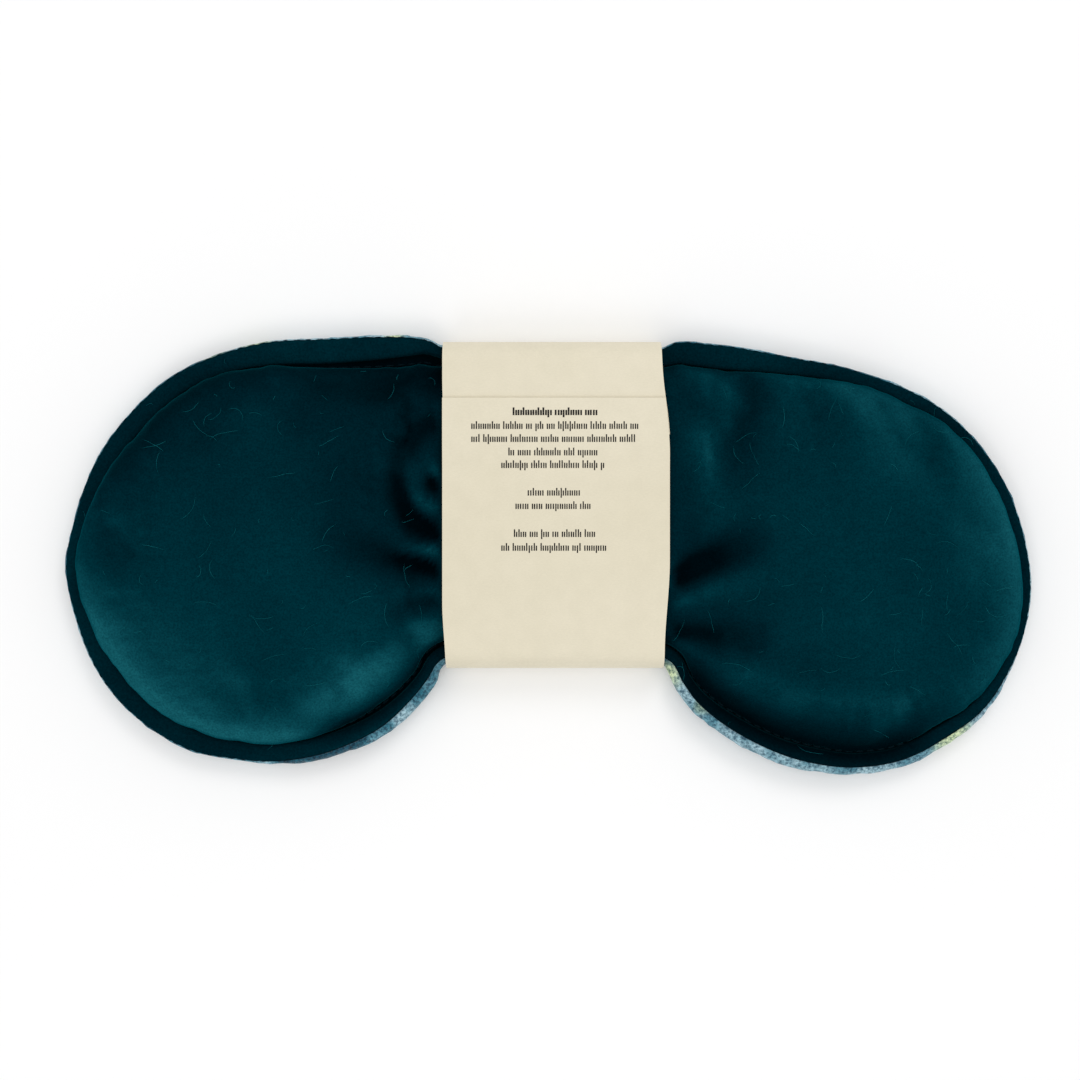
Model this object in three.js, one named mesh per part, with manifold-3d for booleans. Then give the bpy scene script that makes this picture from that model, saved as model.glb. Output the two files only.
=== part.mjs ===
// Herb-filled eye pillow, closed flat in its card belly band.
// Millimetres. +X along the pillow's length, +Y towards the forehead, +Z up.
// It lies on its plush face with the velvet face up; Z = 0 is the surface it lies on.
import * as THREE from 'three';
import { ParametricGeometry } from 'three/addons/geometries/ParametricGeometry.js';
import { mergeGeometries, mergeVertices } from 'three/addons/utils/BufferGeometryUtils.js';
import Module from 'manifold-3d';

const wasm = await Module();
wasm.setup();

// ---- driving dimensions -------------------------------------------------------------------

const GAP = 0.35; // air between two pieces that touch on the real object
const GRAIN_GAP = 0.6; // air between the cloth and the grain

// Sewn edge: both cloths end in a flat flange outside the topstitched crease.
const SEAM_Z = 5; // height of the seam between velvet and plush
const FLANGE_WIDTH = 5.2; // from the sewn edge to the crease
const FLANGE_HALF = 1.5; // half the flange's thickness
const CLOTH = 1.5; // thickness of one pile cloth with its seam allowance

// Stuffed heights above the table.
const LOBE_TOP = 16.4;
const WAIST_TOP = 12.9;
const WAIST_BOTTOM = 0.85; // the waist is held off the table by the band's card
const WAIST_HALF = 30; // the low waist reaches this far each side of the band's middle
const RISE_LENGTH = 26; // and then rises to the lobe over this length

// Card belly band: one strip wrapped round the waist and glued in a lap on the velvet side.
const BAND_MIDDLE_X = 1.6;
const BAND_WIDTH = 57.2;
const BAND_LOW_Y = -29.4;
const BAND_HIGH_Y = 54.6;
const BAND_HEIGHT = 14;
const CARD = 0.4;
const FOLD_DEPTH = 4.5; // how far each rounded fold reaches along Y
const LAP_UNDER_Y = 31.1; // where the under layer of the lap ends
const LAP_OVER_Y = 40.9; // where the over layer ends, in a free edge
const GLUE = 0.3;

// Flex lines beside the band, about which each lobe folds up or down.
const FLEX_CLEAR = 6; // from the band's edge to the flex line
const FLEX_HALF_ANGLE = THREE.MathUtils.degToRad(24.5);
const FLEX_SLIT = 0.5; // half the slit left on the flex line itself

// Threads.
const SEAM_INSET = 1.5; // the seam that joins the two cloths, inside the edge
const TOPSTITCH_INSET = 4.3; // the line of stitches that makes the crease
const THREAD = 0.7;

const OUTLINE_STEPS = 88;
const FAR = 300; // past everything

const bandLowX = BAND_MIDDLE_X - BAND_WIDTH / 2;
const bandHighX = BAND_MIDDLE_X + BAND_WIDTH / 2;
const flexLeftX = bandLowX - FLEX_CLEAR;
const flexRightX = bandHighX + FLEX_CLEAR;

// ---- outline of the sewn edge ---------------------------------------------------------------

// Clockwise from the temple end of the left lobe. The left lobe has a flat top and a round
// lower corner; the right lobe's top falls away towards its temple end.
const edge = new THREE.CatmullRomCurve3([
  [-125, -4], [-119.6, 20.5], [-105.5, 40], [-84.5, 52.3], [-60, 55.7], [-38, 56.4],
  [-27, 53.1], [1.6, 53.1], [30, 53.1], [42, 54.2], [70, 49.8], [93.5, 42.8],
  [113, 26.8], [123.6, 3.6], [124.4, -16], [115.6, -38.4], [96, -53.6], [74, -57],
  [52, -51], [38, -40.5], [30, -28.2], [16, -20.6], [1.6, -17.4], [-13, -20.8],
  [-27, -28.2], [-37, -42.2], [-53, -51.8], [-76, -54], [-98.5, -48.6], [-117, -30.5],
].map(([x, y]) => new THREE.Vector3(x, y, 0)), true, 'centripetal');

const edgePoints = edge.getSpacedPoints(OUTLINE_STEPS).slice(0, OUTLINE_STEPS);

// The rings inside the edge shrink towards a spine from the middle of one lobe to the other.
const spineLeft = new THREE.Vector3(-68, 3, 0);
const spineRight = new THREE.Vector3(71, -2, 0);
const spine = new THREE.Line3(spineLeft, spineRight);

// Which outline point u, from 0 to 1, stands for. It runs anticlockwise, so that faces point out.
function outlineIndex(u) {
  return (OUTLINE_STEPS - Math.round(u * OUTLINE_STEPS)) % OUTLINE_STEPS;
}

// The point of a ring that lies `inset` inside the edge, or, further in, the given share of the
// way from there to the spine.
function ringPoint(index, inset, share) {
  const point = edgePoints[index].clone();
  const target = spine.closestPointToPoint(point, true, new THREE.Vector3());
  point.addScaledVector(target.clone().sub(point).normalize(), inset);
  return point.lerp(target, share);
}

// 0 in the waist under the band, 1 in the lobes.
function lobeShare(x) {
  const past = Math.abs(x - BAND_MIDDLE_X) - WAIST_HALF;
  return THREE.MathUtils.smoothstep(past, 0, RISE_LENGTH);
}

// ---- solids -------------------------------------------------------------------------------

function solid(geometry) {
  geometry.deleteAttribute('normal');
  geometry.deleteAttribute('uv');
  const merged = mergeVertices(geometry, 1e-4);
  const triangles = [];
  const index = merged.index.array;
  for (let i = 0; i < index.length; i += 3) {
    const [a, b, c] = [index[i], index[i + 1], index[i + 2]];
    if (a !== b && b !== c && c !== a) triangles.push(a, b, c);
  }
  return new wasm.Manifold(new wasm.Mesh({
    numProp: 3,
    vertProperties: new Float32Array(merged.attributes.position.array),
    triVerts: new Uint32Array(triangles),
  }));
}

function box(low, high) {
  const geometry = new THREE.BoxGeometry(high[0] - low[0], high[1] - low[1], high[2] - low[2]);
  geometry.translate((low[0] + high[0]) / 2, (low[1] + high[1]) / 2, (low[2] + high[2]) / 2);
  return solid(geometry);
}

// The stuffed height of one side at a place along the pillow, with the cloth's skin taken off.
function stuffedZ(x, side, skin) {
  const lobe = lobeShare(x);
  return side > 0
    ? THREE.MathUtils.lerp(WAIST_TOP, LOBE_TOP, lobe) - skin
    : THREE.MathUtils.lerp(WAIST_BOTTOM, 0, lobe) + skin;
}

// Closes the innermost ring of one side with a sheet at the stuffed height.
function cap(ring, skin) {
  const points = edgePoints.map((_, index) => ringPoint(index, ring.inset, ring.share));
  const geometry = new THREE.ShapeGeometry(new THREE.Shape(points));
  const position = geometry.attributes.position;
  for (let i = 0; i < position.count; i += 1) {
    position.setZ(i, stuffedZ(position.getX(i), ring.side, skin));
  }
  if (ring.side < 0) geometry.index.array.reverse();
  return geometry;
}

// A closed body of rings that run round the pillow, from its underside out over the edge to its
// top. A ring is { side, inset, share, rise }: side is -1 below and 1 above, and rise is 0 at
// the flange and 1 at the full stuffed height.
function ringBody(rings, skin) {
  const last = rings.length - 1;
  const shape = (u, v, target) => {
    const ring = rings[Math.round(v * last)];
    target.copy(ringPoint(outlineIndex(u), ring.inset, ring.share));
    const flange = SEAM_Z + ring.side * FLANGE_HALF * (ring.flange ?? 1);
    target.z = THREE.MathUtils.lerp(flange, stuffedZ(target.x, ring.side, skin), ring.rise);
  };
  const wall = new ParametricGeometry(shape, OUTLINE_STEPS, last);
  return solid(mergeGeometries([wall, cap(rings[0], skin), cap(rings[last], skin)]));
}

const outerRings = [
  { side: -1, inset: 13, share: 0, rise: 1 },
  { side: -1, inset: 8, share: 0, rise: 0.85 },
  { side: -1, inset: 6, share: 0, rise: 0.4 },
  { side: -1, inset: FLANGE_WIDTH, share: 0, rise: 0 },
  { side: -1, inset: 0.6, share: 0, rise: 0 },
  { side: -1, inset: 0, share: 0, rise: 0, flange: 0.55 },
  { side: 1, inset: 0, share: 0, rise: 0, flange: 0.55 },
  { side: 1, inset: 0.6, share: 0, rise: 0 },
  { side: 1, inset: FLANGE_WIDTH, share: 0, rise: 0 },
  { side: 1, inset: 5.6, share: 0, rise: 0.34 },
  { side: 1, inset: 7.4, share: 0, rise: 0.6 },
  { side: 1, inset: 12, share: 0, rise: 0.83 },
  { side: 1, inset: 12, share: 0.35, rise: 0.96 },
  { side: 1, inset: 12, share: 0.8, rise: 1 },
];

// The room inside the cloth starts inside the crease, and the grain a little further in.
function innerRings(extra) {
  const start = FLANGE_WIDTH + CLOTH + extra;
  return [
    { side: -1, inset: 13, share: 0, rise: 1 },
    { side: -1, inset: start + 1, share: 0, rise: 0.7 },
    { side: -1, inset: start, share: 0, rise: 0, flange: 0.4 },
    { side: 1, inset: start, share: 0, rise: 0, flange: 0.4 },
    { side: 1, inset: start + 1.2, share: 0, rise: 0.52 },
    { side: 1, inset: 12, share: 0, rise: 0.8 },
    { side: 1, inset: 12, share: 0.35, rise: 0.95 },
    { side: 1, inset: 12, share: 0.8, rise: 1 },
  ];
}

// A square bead that runs round the pillow at one inset.
function threadBody(inset, z, size) {
  const corners = [[-1, -1], [-1, 1], [1, 1], [1, -1]];
  const shape = (u, v, target) => {
    const [across, up] = corners[Math.round(v * 4) % 4];
    target.copy(ringPoint(outlineIndex(u), inset + across * size / 2, 0));
    target.z = z + up * size / 2;
  };
  return solid(new ParametricGeometry(shape, OUTLINE_STEPS, 4));
}

// The slit at a flex line opens upwards and downwards from it, so that a lobe can fold either
// way without meeting the waist.
function flexSlit(x) {
  const reach = 30; // above and below the flex line, past the pillow
  const wide = FLEX_SLIT + reach * Math.tan(FLEX_HALF_ANGLE);
  const shape = new THREE.Shape([
    [-FLEX_SLIT, 0], [-wide, reach], [wide, reach],
    [FLEX_SLIT, 0], [wide, -reach], [-wide, -reach],
  ].map(([across, up]) => new THREE.Vector2(across, up)));
  const geometry = new THREE.ExtrudeGeometry(shape, { depth: 2 * FAR, bevelEnabled: false });
  geometry.rotateX(Math.PI / 2);
  geometry.translate(x, FAR, SEAM_Z);
  return solid(geometry);
}

// ---- belly band ---------------------------------------------------------------------------

const bandLow = CARD / 2;
const bandHigh = BAND_HEIGHT - CARD / 2;
const lapStep = CARD + GLUE + 2 * GAP;

// Both folds of the band in (Y, Z), `inset` inside the card's middle line: round the forehead
// fold from top to bottom, then round the nose fold from bottom to top.
function bandFolds(inset) {
  const middle = (bandLow + bandHigh) / 2;
  const radius = (bandHigh - bandLow) / 2;
  const fold = (y, from, to) => new THREE.EllipseCurve(
    y, middle, FOLD_DEPTH - inset, radius - inset, from, to, true).getPoints(10);
  return [
    ...fold(BAND_HIGH_Y - CARD / 2 - FOLD_DEPTH, Math.PI / 2, -Math.PI / 2),
    ...fold(BAND_LOW_Y + CARD / 2 + FOLD_DEPTH, -Math.PI / 2, -Math.PI * 3 / 2),
  ];
}

// The strip's middle line, from the hidden end of the lap, once round, to the free edge.
function bandStrip() {
  return [
    new THREE.Vector2(LAP_UNDER_Y, bandHigh),
    ...bandFolds(0),
    new THREE.Vector2(LAP_UNDER_Y - 9, bandHigh),
    new THREE.Vector2(LAP_UNDER_Y - 2, bandHigh + lapStep),
    new THREE.Vector2(LAP_OVER_Y, bandHigh + lapStep),
  ];
}

// A flat strip of the given thickness whose middle line is the list of points.
function stripOutline(points, thickness) {
  const side = (sign) => points.map((point, i) => {
    const before = points[Math.max(i - 1, 0)];
    const after = points[Math.min(i + 1, points.length - 1)];
    const along = after.clone().sub(before).normalize();
    return new THREE.Vector2(-along.y, along.x).multiplyScalar(sign * thickness / 2).add(point);
  });
  return new THREE.Shape([...side(1), ...side(-1).reverse()]);
}

// A (Y, Z) shape run along X over the band's width, and `past` further at each side.
function extrudeAlongX(shape, past) {
  const depth = BAND_WIDTH + 2 * past;
  const geometry = new THREE.ExtrudeGeometry(shape, { depth, bevelEnabled: false });
  geometry.applyMatrix4(new THREE.Matrix4().makeBasis(
    new THREE.Vector3(0, 1, 0), new THREE.Vector3(0, 0, 1), new THREE.Vector3(1, 0, 0)));
  geometry.translate(bandLowX - past, 0, 0);
  return solid(geometry);
}

// The room inside the card, run on past the flex lines. The waist keeps within it, so that the
// band can be drawn off along the pillow.
const bandRoom = extrudeAlongX(new THREE.Shape(bandFolds(CARD / 2 + GAP)), FLEX_CLEAR + 2);

// ---- the three zones that bend against each other ------------------------------------------

const slits = flexSlit(flexLeftX).add(flexSlit(flexRightX));
const leftSide = box([-FAR, -FAR, -FAR], [flexLeftX, FAR, FAR]);
const rightSide = box([flexRightX, -FAR, -FAR], [FAR, FAR, FAR]);
const zones = {
  left: leftSide.subtract(slits),
  bridge: bandRoom.subtract(slits).subtract(leftSide).subtract(rightSide),
  right: rightSide.subtract(slits),
};

// ---- materials ----------------------------------------------------------------------------

const materials = {
  velvet: new THREE.MeshStandardMaterial({ color: 0x04303c, roughness: 0.9 }),
  plush: new THREE.MeshStandardMaterial({ color: 0x3f7f97, roughness: 0.95 }),
  thread: new THREE.MeshStandardMaterial({ color: 0x02212b, roughness: 0.7 }),
  grain: new THREE.MeshStandardMaterial({ color: 0xb89a68, roughness: 0.85 }),
  card: new THREE.MeshStandardMaterial({ color: 0xe4dcc6, roughness: 0.8 }),
  glue: new THREE.MeshStandardMaterial({ color: 0xf2efe4, roughness: 0.4 }),
};

// ---- the assembly -------------------------------------------------------------------------

const pillow = new THREE.Group();

function place(name, body, material) {
  const { vertProperties, triVerts } = body.getMesh();
  const geometry = new THREE.BufferGeometry();
  geometry.setAttribute('position', new THREE.BufferAttribute(vertProperties, 3));
  geometry.setIndex(new THREE.BufferAttribute(triVerts, 1));
  const mesh = new THREE.Mesh(geometry, material);
  mesh.name = name;
  pillow.add(mesh);
}

// Cloth: a shell, halved at the seam plane, with a channel for the seam thread.
const shell = ringBody(outerRings, 0)
  .subtract(ringBody(innerRings(0), CLOTH))
  .subtract(threadBody(SEAM_INSET, SEAM_Z, THREAD + 2 * GAP));
const velvet = shell.intersect(box([-FAR, -FAR, SEAM_Z + GAP / 2], [FAR, FAR, FAR]));
const plush = shell.intersect(box([-FAR, -FAR, -FAR], [FAR, FAR, SEAM_Z - GAP / 2]));
const grain = ringBody(innerRings(GRAIN_GAP), CLOTH + GRAIN_GAP);

for (const [side, zone] of Object.entries(zones)) {
  place(`velvet_${side}`, velvet.intersect(zone), materials.velvet);
  place(`plush_${side}`, plush.intersect(zone), materials.plush);
  place(`grain_${side}`, grain.intersect(zone), materials.grain);
}

// Threads: the hidden seam that joins the cloths, and the topstitching in the crease.
const seamThread = threadBody(SEAM_INSET, SEAM_Z, THREAD);
const topstitchZ = SEAM_Z + FLANGE_HALF + GAP + THREAD / 2;
const topstitch = threadBody(TOPSTITCH_INSET, topstitchZ, THREAD);
const upper = box([-FAR, 0, -FAR], [FAR, FAR, FAR]);
const lower = box([-FAR, -FAR, -FAR], [FAR, 0, FAR]);

for (const [name, thread] of [['edge_seam', seamThread], ['topstitch', topstitch]]) {
  place(`${name}_left`, thread.intersect(zones.left), materials.thread);
  place(`${name}_right`, thread.intersect(zones.right), materials.thread);
  place(`${name}_bridge_upper`, thread.intersect(zones.bridge).intersect(upper), materials.thread);
  place(`${name}_bridge_lower`, thread.intersect(zones.bridge).intersect(lower), materials.thread);
}

// Belly band and its glue.
place('card_band', extrudeAlongX(stripOutline(bandStrip(), CARD), 0), materials.card);

const glueLow = BAND_HEIGHT + GAP;
const glueMargin = 4;
place('band_glue', box(
  [bandLowX + glueMargin, LAP_UNDER_Y + 1.5, glueLow],
  [bandHighX - glueMargin, LAP_OVER_Y - 1.5, glueLow + GLUE],
), materials.glue);

// The origin is under the middle of the whole part.
const bounds = new THREE.Box3().setFromObject(pillow);
const centre = bounds.getCenter(new THREE.Vector3());
pillow.position.set(-centre.x, -centre.y, -bounds.min.z);

export default pillow;
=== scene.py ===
# Herb-filled eye pillow in its card belly band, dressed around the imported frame.
# Shapes are worked out in millimetres in the frame's axes, and become metres in make_mesh().
# Each half of the pillow is a grid: rings from the sewn edge to the spine, and columns along
# the edge. A short cloth simulation swells the lobes before the grids become meshes.
import itertools
import math
from contextlib import contextmanager

import bmesh
import bpy
import numpy as np
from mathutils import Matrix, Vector
from mathutils.bvhtree import BVHTree
from mathutils.kdtree import KDTree


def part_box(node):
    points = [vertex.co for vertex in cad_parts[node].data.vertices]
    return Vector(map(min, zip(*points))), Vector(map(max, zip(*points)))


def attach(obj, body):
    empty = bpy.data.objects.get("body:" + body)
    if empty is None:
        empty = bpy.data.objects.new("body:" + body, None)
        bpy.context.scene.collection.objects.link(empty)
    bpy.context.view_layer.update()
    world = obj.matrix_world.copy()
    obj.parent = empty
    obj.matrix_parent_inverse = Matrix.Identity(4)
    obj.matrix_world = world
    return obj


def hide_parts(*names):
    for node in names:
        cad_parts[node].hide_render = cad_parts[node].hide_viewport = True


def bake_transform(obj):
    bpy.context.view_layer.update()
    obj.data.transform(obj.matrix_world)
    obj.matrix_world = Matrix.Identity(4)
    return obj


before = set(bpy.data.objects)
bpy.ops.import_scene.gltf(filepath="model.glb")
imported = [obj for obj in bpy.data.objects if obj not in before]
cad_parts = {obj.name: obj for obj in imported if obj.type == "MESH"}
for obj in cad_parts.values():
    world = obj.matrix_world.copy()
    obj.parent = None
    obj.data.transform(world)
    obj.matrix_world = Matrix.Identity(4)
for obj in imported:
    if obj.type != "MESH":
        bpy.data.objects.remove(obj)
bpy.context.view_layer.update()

MM = 0.001
DOUBLED = 1e-7  # points nearer than this, in metres, are one

# The belly band's box gives the place of everything else.
band_low = np.array(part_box("card_band")[0]) / MM
band_high = np.array(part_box("card_band")[1]) / MM
MIDDLE_X = (band_low[0] + band_high[0]) / 2
OUTLINE_MIDDLE_X = 1.6  # the band's middle and lower edge in the outline's axes
OUTLINE_LOW_Y = -29.4
SHIFT = np.array([MIDDLE_X - OUTLINE_MIDDLE_X, band_low[1] - OUTLINE_LOW_Y])

SEAM_Z = 5.0  # height of the sewn edge
FLANGE_HALF = 1.3  # half the sewn edge's thickness
WAIST_TOP = 13.0
LOBE_TOP = 13.0  # before the simulation swells the lobes
WAIST_BOTTOM = 0.95
TABLE_GAP = 0.05  # how far the lobes stay above the table
CLOTH = 0.5  # thickness of each cloth
BEND_FROM = 28.6  # where the cloth starts to bend, from the middle line
SPINE_ENDS = {-1: -68.0, 1: 71.0}  # x of the spine's end in the left and the right lobe
LOBE_MIDDLES = (-74, 76)

# The sewn edge, clockwise from the temple end of the left lobe: x, y, width of the flange inside
# it, reach of the rounded shoulder, overhang of the lip over the crease, width of printed plush
# that rolls over the edge, and width of the crease.
FLANGE, SHOULDER, LIP, SHOW, GAP = range(2, 7)
EDGE = [
    (-125, -4, 3.9, 12, 0.7, 0.3, 0.5), (-122.6, 9.5, 4.1, 12, 0.6, 0.3, 0.5),
    (-117.5, 23.6, 5.2, 12, 0.4, 0.3, 0.5), (-109.5, 35.2, 5.9, 12, 0.3, 0.3, 0.5),
    (-98.5, 45.4, 5.9, 12, 0.3, 0.3, 0.5), (-87, 51.2, 6.0, 12, 0.5, 0.3, 0.6),
    (-73, 55, 7.2, 12, 0.4, 0.3, 0.8), (-57, 55.9, 8.3, 12, 0.5, 0.3, 1.6),
    (-44, 56.6, 8.9, 11, 0.5, 0.45, 2.6), (-35, 56.4, 8.3, 10, 0.4, 0.5, 3.2),
    (-30.4, 55.6, 7.5, 9, 0.4, 0.6, 3.4), (-27.3, 53.9, 6.3, 9, 0.4, 0.5, 3.0),
    (-22, 52.9, 5.2, 10, 0.4, 0.3, 1.6),
    (1.6, 52.9, 5.0, 12, 0.4, 0.3, 0.6), (28.5, 53, 5.4, 12, 0.4, 0.3, 0.6),
    (33, 54.9, 6.8, 11, 0.6, 0.3, 0.8), (42.6, 54.4, 7.4, 11, 0.7, 0.3, 0.9),
    (50, 53.5, 7.2, 11, 0.7, 0.3, 0.9), (62, 51.2, 5.6, 11, 0.7, 0.3, 0.7),
    (73.7, 49.1, 4.9, 11, 0.7, 0.3, 0.6), (83.3, 46.4, 4.3, 11, 0.7, 0.3, 0.6),
    (94, 42.3, 4.6, 11, 0.7, 0.3, 0.6), (102, 37.6, 4.2, 11, 0.7, 0.3, 0.6),
    (110.5, 29.7, 3.9, 11, 0.7, 0.3, 0.6), (118.8, 17.4, 4.2, 11, 0.7, 0.3, 0.5),
    (123.4, 3.9, 4.0, 11, 0.7, 0.3, 0.5), (125, -7.5, 3.8, 11, 0.7, 0.3, 0.5),
    (123.6, -19.2, 3.3, 12, 0.6, 0.3, 0.5), (120.3, -28.8, 3.3, 13, 0.3, 0.4, 0.5),
    (113.1, -41.2, 5.0, 14, 0.0, 1.2, 0.6), (103.5, -49.2, 6.0, 13, 0.0, 1.8, 0.6),
    (92.3, -54.9, 5.8, 13, 0.0, 1.8, 0.6), (79.4, -57, 6.0, 13, 0.0, 1.9, 0.6),
    (68.5, -56.3, 6.6, 13, 0.0, 2.2, 0.6), (58, -53.6, 6.8, 13, 0.0, 2.5, 0.6),
    (45.2, -47, 6.6, 12, 0.0, 2.5, 0.6), (36.5, -39.8, 6.0, 11, 0.0, 2.4, 0.6),
    (32.4, -34, 5.6, 11, 0.0, 2.4, 0.6), (30.2, -29.2, 5.4, 11, 0.0, 1.9, 0.6),
    (24, -25.8, 5.2, 12, 0.3, 0.6, 0.6), (13, -20, 5.0, 12, 0.3, 0.3, 0.5),
    (1.6, -17.4, 5.0, 12, 0.3, 0.3, 0.5), (-10, -20, 5.0, 12, 0.3, 0.3, 0.5),
    (-21, -25.8, 5.2, 12, 0.3, 0.6, 0.8), (-27, -28.9, 6.1, 11, 0.4, 1.6, 1.6),
    (-29.2, -33.4, 6.4, 12, 0.2, 2.2, 1.4), (-33.8, -39.6, 7.0, 13, 0.2, 2.5, 1.4),
    (-41.6, -46.5, 7.5, 13, 0.2, 2.3, 1.3), (-52.4, -51.5, 7.1, 12, 0.4, 1.8, 1.0),
    (-62, -53.9, 6.9, 12, 0.6, 1.3, 0.9), (-72.1, -54.3, 5.9, 12, 0.6, 0.6, 0.7),
    (-82.5, -53.2, 5.8, 12, 0.6, 0.3, 0.6), (-92.1, -51.3, 6.4, 12, 0.6, 0.3, 0.6),
    (-101.9, -46.2, 6.2, 12, 0.6, 0.3, 0.6), (-110.5, -39, 6.1, 12, 0.6, 0.3, 0.6),
    (-117.2, -30, 5.9, 12, 0.6, 0.3, 0.6), (-121.8, -19, 4.6, 12, 0.6, 0.3, 0.5),
]


# ---- helpers ----------------------------------------------

def smooth(t):
    t = np.clip(t, 0, 1)
    return t * t * (3 - 2 * t)


def lerp(a, b, t):
    return a + (b - a) * t


# Large multipliers that scatter neighbouring cells, one for each axis.
SCATTER = (374761393, 668265263, 69069)
SCATTER_SEED = 9176263
SCATTER_AGAIN = 1274126177
LOW_31_BITS = 0x7FFFFFFF
LOW_16_BITS = 0xFFFF


def lattice(cell, seed):
    """A fixed value from -1 to 1 for each whole-numbered cell."""
    h = sum(cell[..., axis] * SCATTER[axis] for axis in range(3)) + seed * SCATTER_SEED
    h = ((h ^ (h >> 13)) & LOW_31_BITS) * SCATTER_AGAIN & LOW_31_BITS
    return ((h ^ (h >> 15)) & LOW_16_BITS) / (LOW_16_BITS / 2) - 1


def noise(points, size, seed):
    """Smooth noise from -1 to 1 whose features are about `size` across."""
    scaled = points / size
    cell = np.floor(scaled).astype(np.int64)
    part = smooth(scaled - cell)
    total = 0
    for corner in itertools.product((0, 1), repeat=3):
        step = np.array(corner)
        weight = np.where(step, part, 1 - part).prod(axis=-1)
        total = total + weight * lattice(cell + step, seed)
    return total


def add_object(name, data):
    obj = bpy.data.objects.new(name, data)
    bpy.context.scene.collection.objects.link(obj)
    return obj


@contextmanager
def editing(mesh):
    """The mesh as a bmesh, which is written back afterwards."""
    bm = bmesh.new()
    bm.from_mesh(mesh)
    yield bm
    bm.to_mesh(mesh)
    bm.free()


def mark_sharp(bm_edges, angle):
    """Shades an edge sharp where its two faces meet at more than this angle."""
    for bm_edge in bm_edges:
        if len(bm_edge.link_faces) == 2 and bm_edge.calc_face_angle() > angle:
            bm_edge.smooth = False


def make_mesh(name, points, faces, material, painted_light_and_print=None):
    """An object from points in millimetres; doubled points are joined. The optional value for each
    point is stored for its material to read: painted light and shade on the velvet, and the print's
    green patches on the plush."""
    mesh = bpy.data.meshes.new(name)
    mesh.from_pydata((np.asarray(points) * MM).tolist(), [], faces)
    mesh.materials.append(material)
    if painted_light_and_print is not None:
        values = mesh.attributes.new("painted_light_and_print", "FLOAT", "POINT").data
        values.foreach_set("value", painted_light_and_print.astype(np.float32))
    with editing(mesh) as bm:
        bmesh.ops.remove_doubles(bm, verts=bm.verts, dist=DOUBLED)
        bmesh.ops.dissolve_degenerate(bm, edges=bm.edges, dist=DOUBLED)
    mesh.shade_smooth()
    return add_object(name, mesh)


def grid_faces(rows, columns, offset=0, flip=False, wrap=False):
    """Quads of a grid whose point (row, column) has index offset + row * columns + column."""
    faces = []
    for row in range(rows - 1):
        for column in range(columns if wrap else columns - 1):
            after = (column + 1) % columns
            quad = (row * columns + column, row * columns + after,
                    (row + 1) * columns + after, (row + 1) * columns + column)
            faces.append(tuple(offset + i for i in (reversed(quad) if flip else quad)))
    return faces


def side_faces(side, inside, flip=False):
    """Quads between one side of a grid and the same side of its inner copy."""
    quads = [(a, b, inside + b, inside + a) for a, b in zip(side[:-1], side[1:])]
    return [quad[::-1] for quad in quads] if flip else quads


# ---- the sewn edge ----------------------------------------

def closed_curve(stations, steps):
    """A closed centripetal Catmull-Rom curve through rows of numbers; x and y come first."""
    rows = np.array(stations, float)
    before, after, later = np.roll(rows, 1, 0), np.roll(rows, -1, 0), np.roll(rows, -2, 0)
    gap = [np.sqrt(np.linalg.norm((b - a)[:, :2], axis=1))[:, None]
           for a, b in ((before, rows), (rows, after), (after, later))]
    t0 = np.zeros_like(gap[0])
    t1 = t0 + gap[0]
    t2 = t1 + gap[1]
    t3 = t2 + gap[2]
    curve = []
    for share in np.arange(steps) / steps:
        t = lerp(t1, t2, share)
        a1 = before + (rows - before) * (t - t0) / (t1 - t0)
        a2 = rows + (after - rows) * (t - t1) / (t2 - t1)
        a3 = after + (later - after) * (t - t2) / (t3 - t2)
        b1 = a1 + (a2 - a1) * (t - t0) / (t2 - t0)
        b2 = a2 + (a3 - a2) * (t - t1) / (t3 - t1)
        curve.append(b1 + (b2 - b1) * (t - t1) / (t2 - t1))
    return np.stack(curve, axis=1).reshape(-1, rows.shape[1])


EDGE_STEPS = 40  # between two rows of EDGE
FLANGE_SPAN = 4.0  # the edge's direction is taken over this much each way for the flange
SHOULDER_SPAN = 16.0  # and over this much for the shoulder, so that its columns don't cross

edge = closed_curve(EDGE, EDGE_STEPS)
edge[:, :2] += SHIFT
edge_step = np.linalg.norm(np.roll(edge[:, :2], -1, 0) - edge[:, :2], axis=1)
edge_length = edge_step.sum()
edge_at = np.concatenate([[0], np.cumsum(edge_step)[:-1]])


def edge_values(s):
    """The edge's columns at lengths s along it, clockwise from the left end."""
    s = np.mod(s, edge_length)
    columns = [np.interp(s, edge_at, column, period=edge_length) for column in edge.T]
    return np.stack(columns, axis=1)


def edge_inward(s, span=2.5):
    """Unit vectors that point from the edge into the pillow, taken over `span` each way."""
    ahead = edge_values(np.asarray(s) + span)[:, :2] - edge_values(np.asarray(s) - span)[:, :2]
    inward = np.stack([ahead[:, 1], -ahead[:, 0]], axis=1)
    return inward / np.linalg.norm(inward, axis=1)[:, None]


def edge_lengths_for(xs):
    """Lengths along the top and the lower edge whose shoulders end at these x."""
    s = np.arange(0, edge_length, 0.5)
    values = edge_values(s)
    x = (values[:, 0] + edge_inward(s)[:, 0] * values[:, FLANGE]
         + edge_inward(s, SHOULDER_SPAN)[:, 0] * values[:, SHOULDER])
    turn = int(np.argmax(values[:, 0]))  # the right end
    top = np.interp(xs, np.maximum.accumulate(x[:turn]), s[:turn])
    low = np.interp(xs, np.maximum.accumulate(x[turn:][::-1]), s[turn:][::-1])
    return top, low


def crease_height(gap):
    """Height of the velvet at the bottom of the crease, lower where the crease is wide."""
    return 5.1 - 0.5 * np.clip(gap, 0, 3)


WAIST_STEP = 0.9  # columns along the spine, against those round the lobe's end


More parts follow.
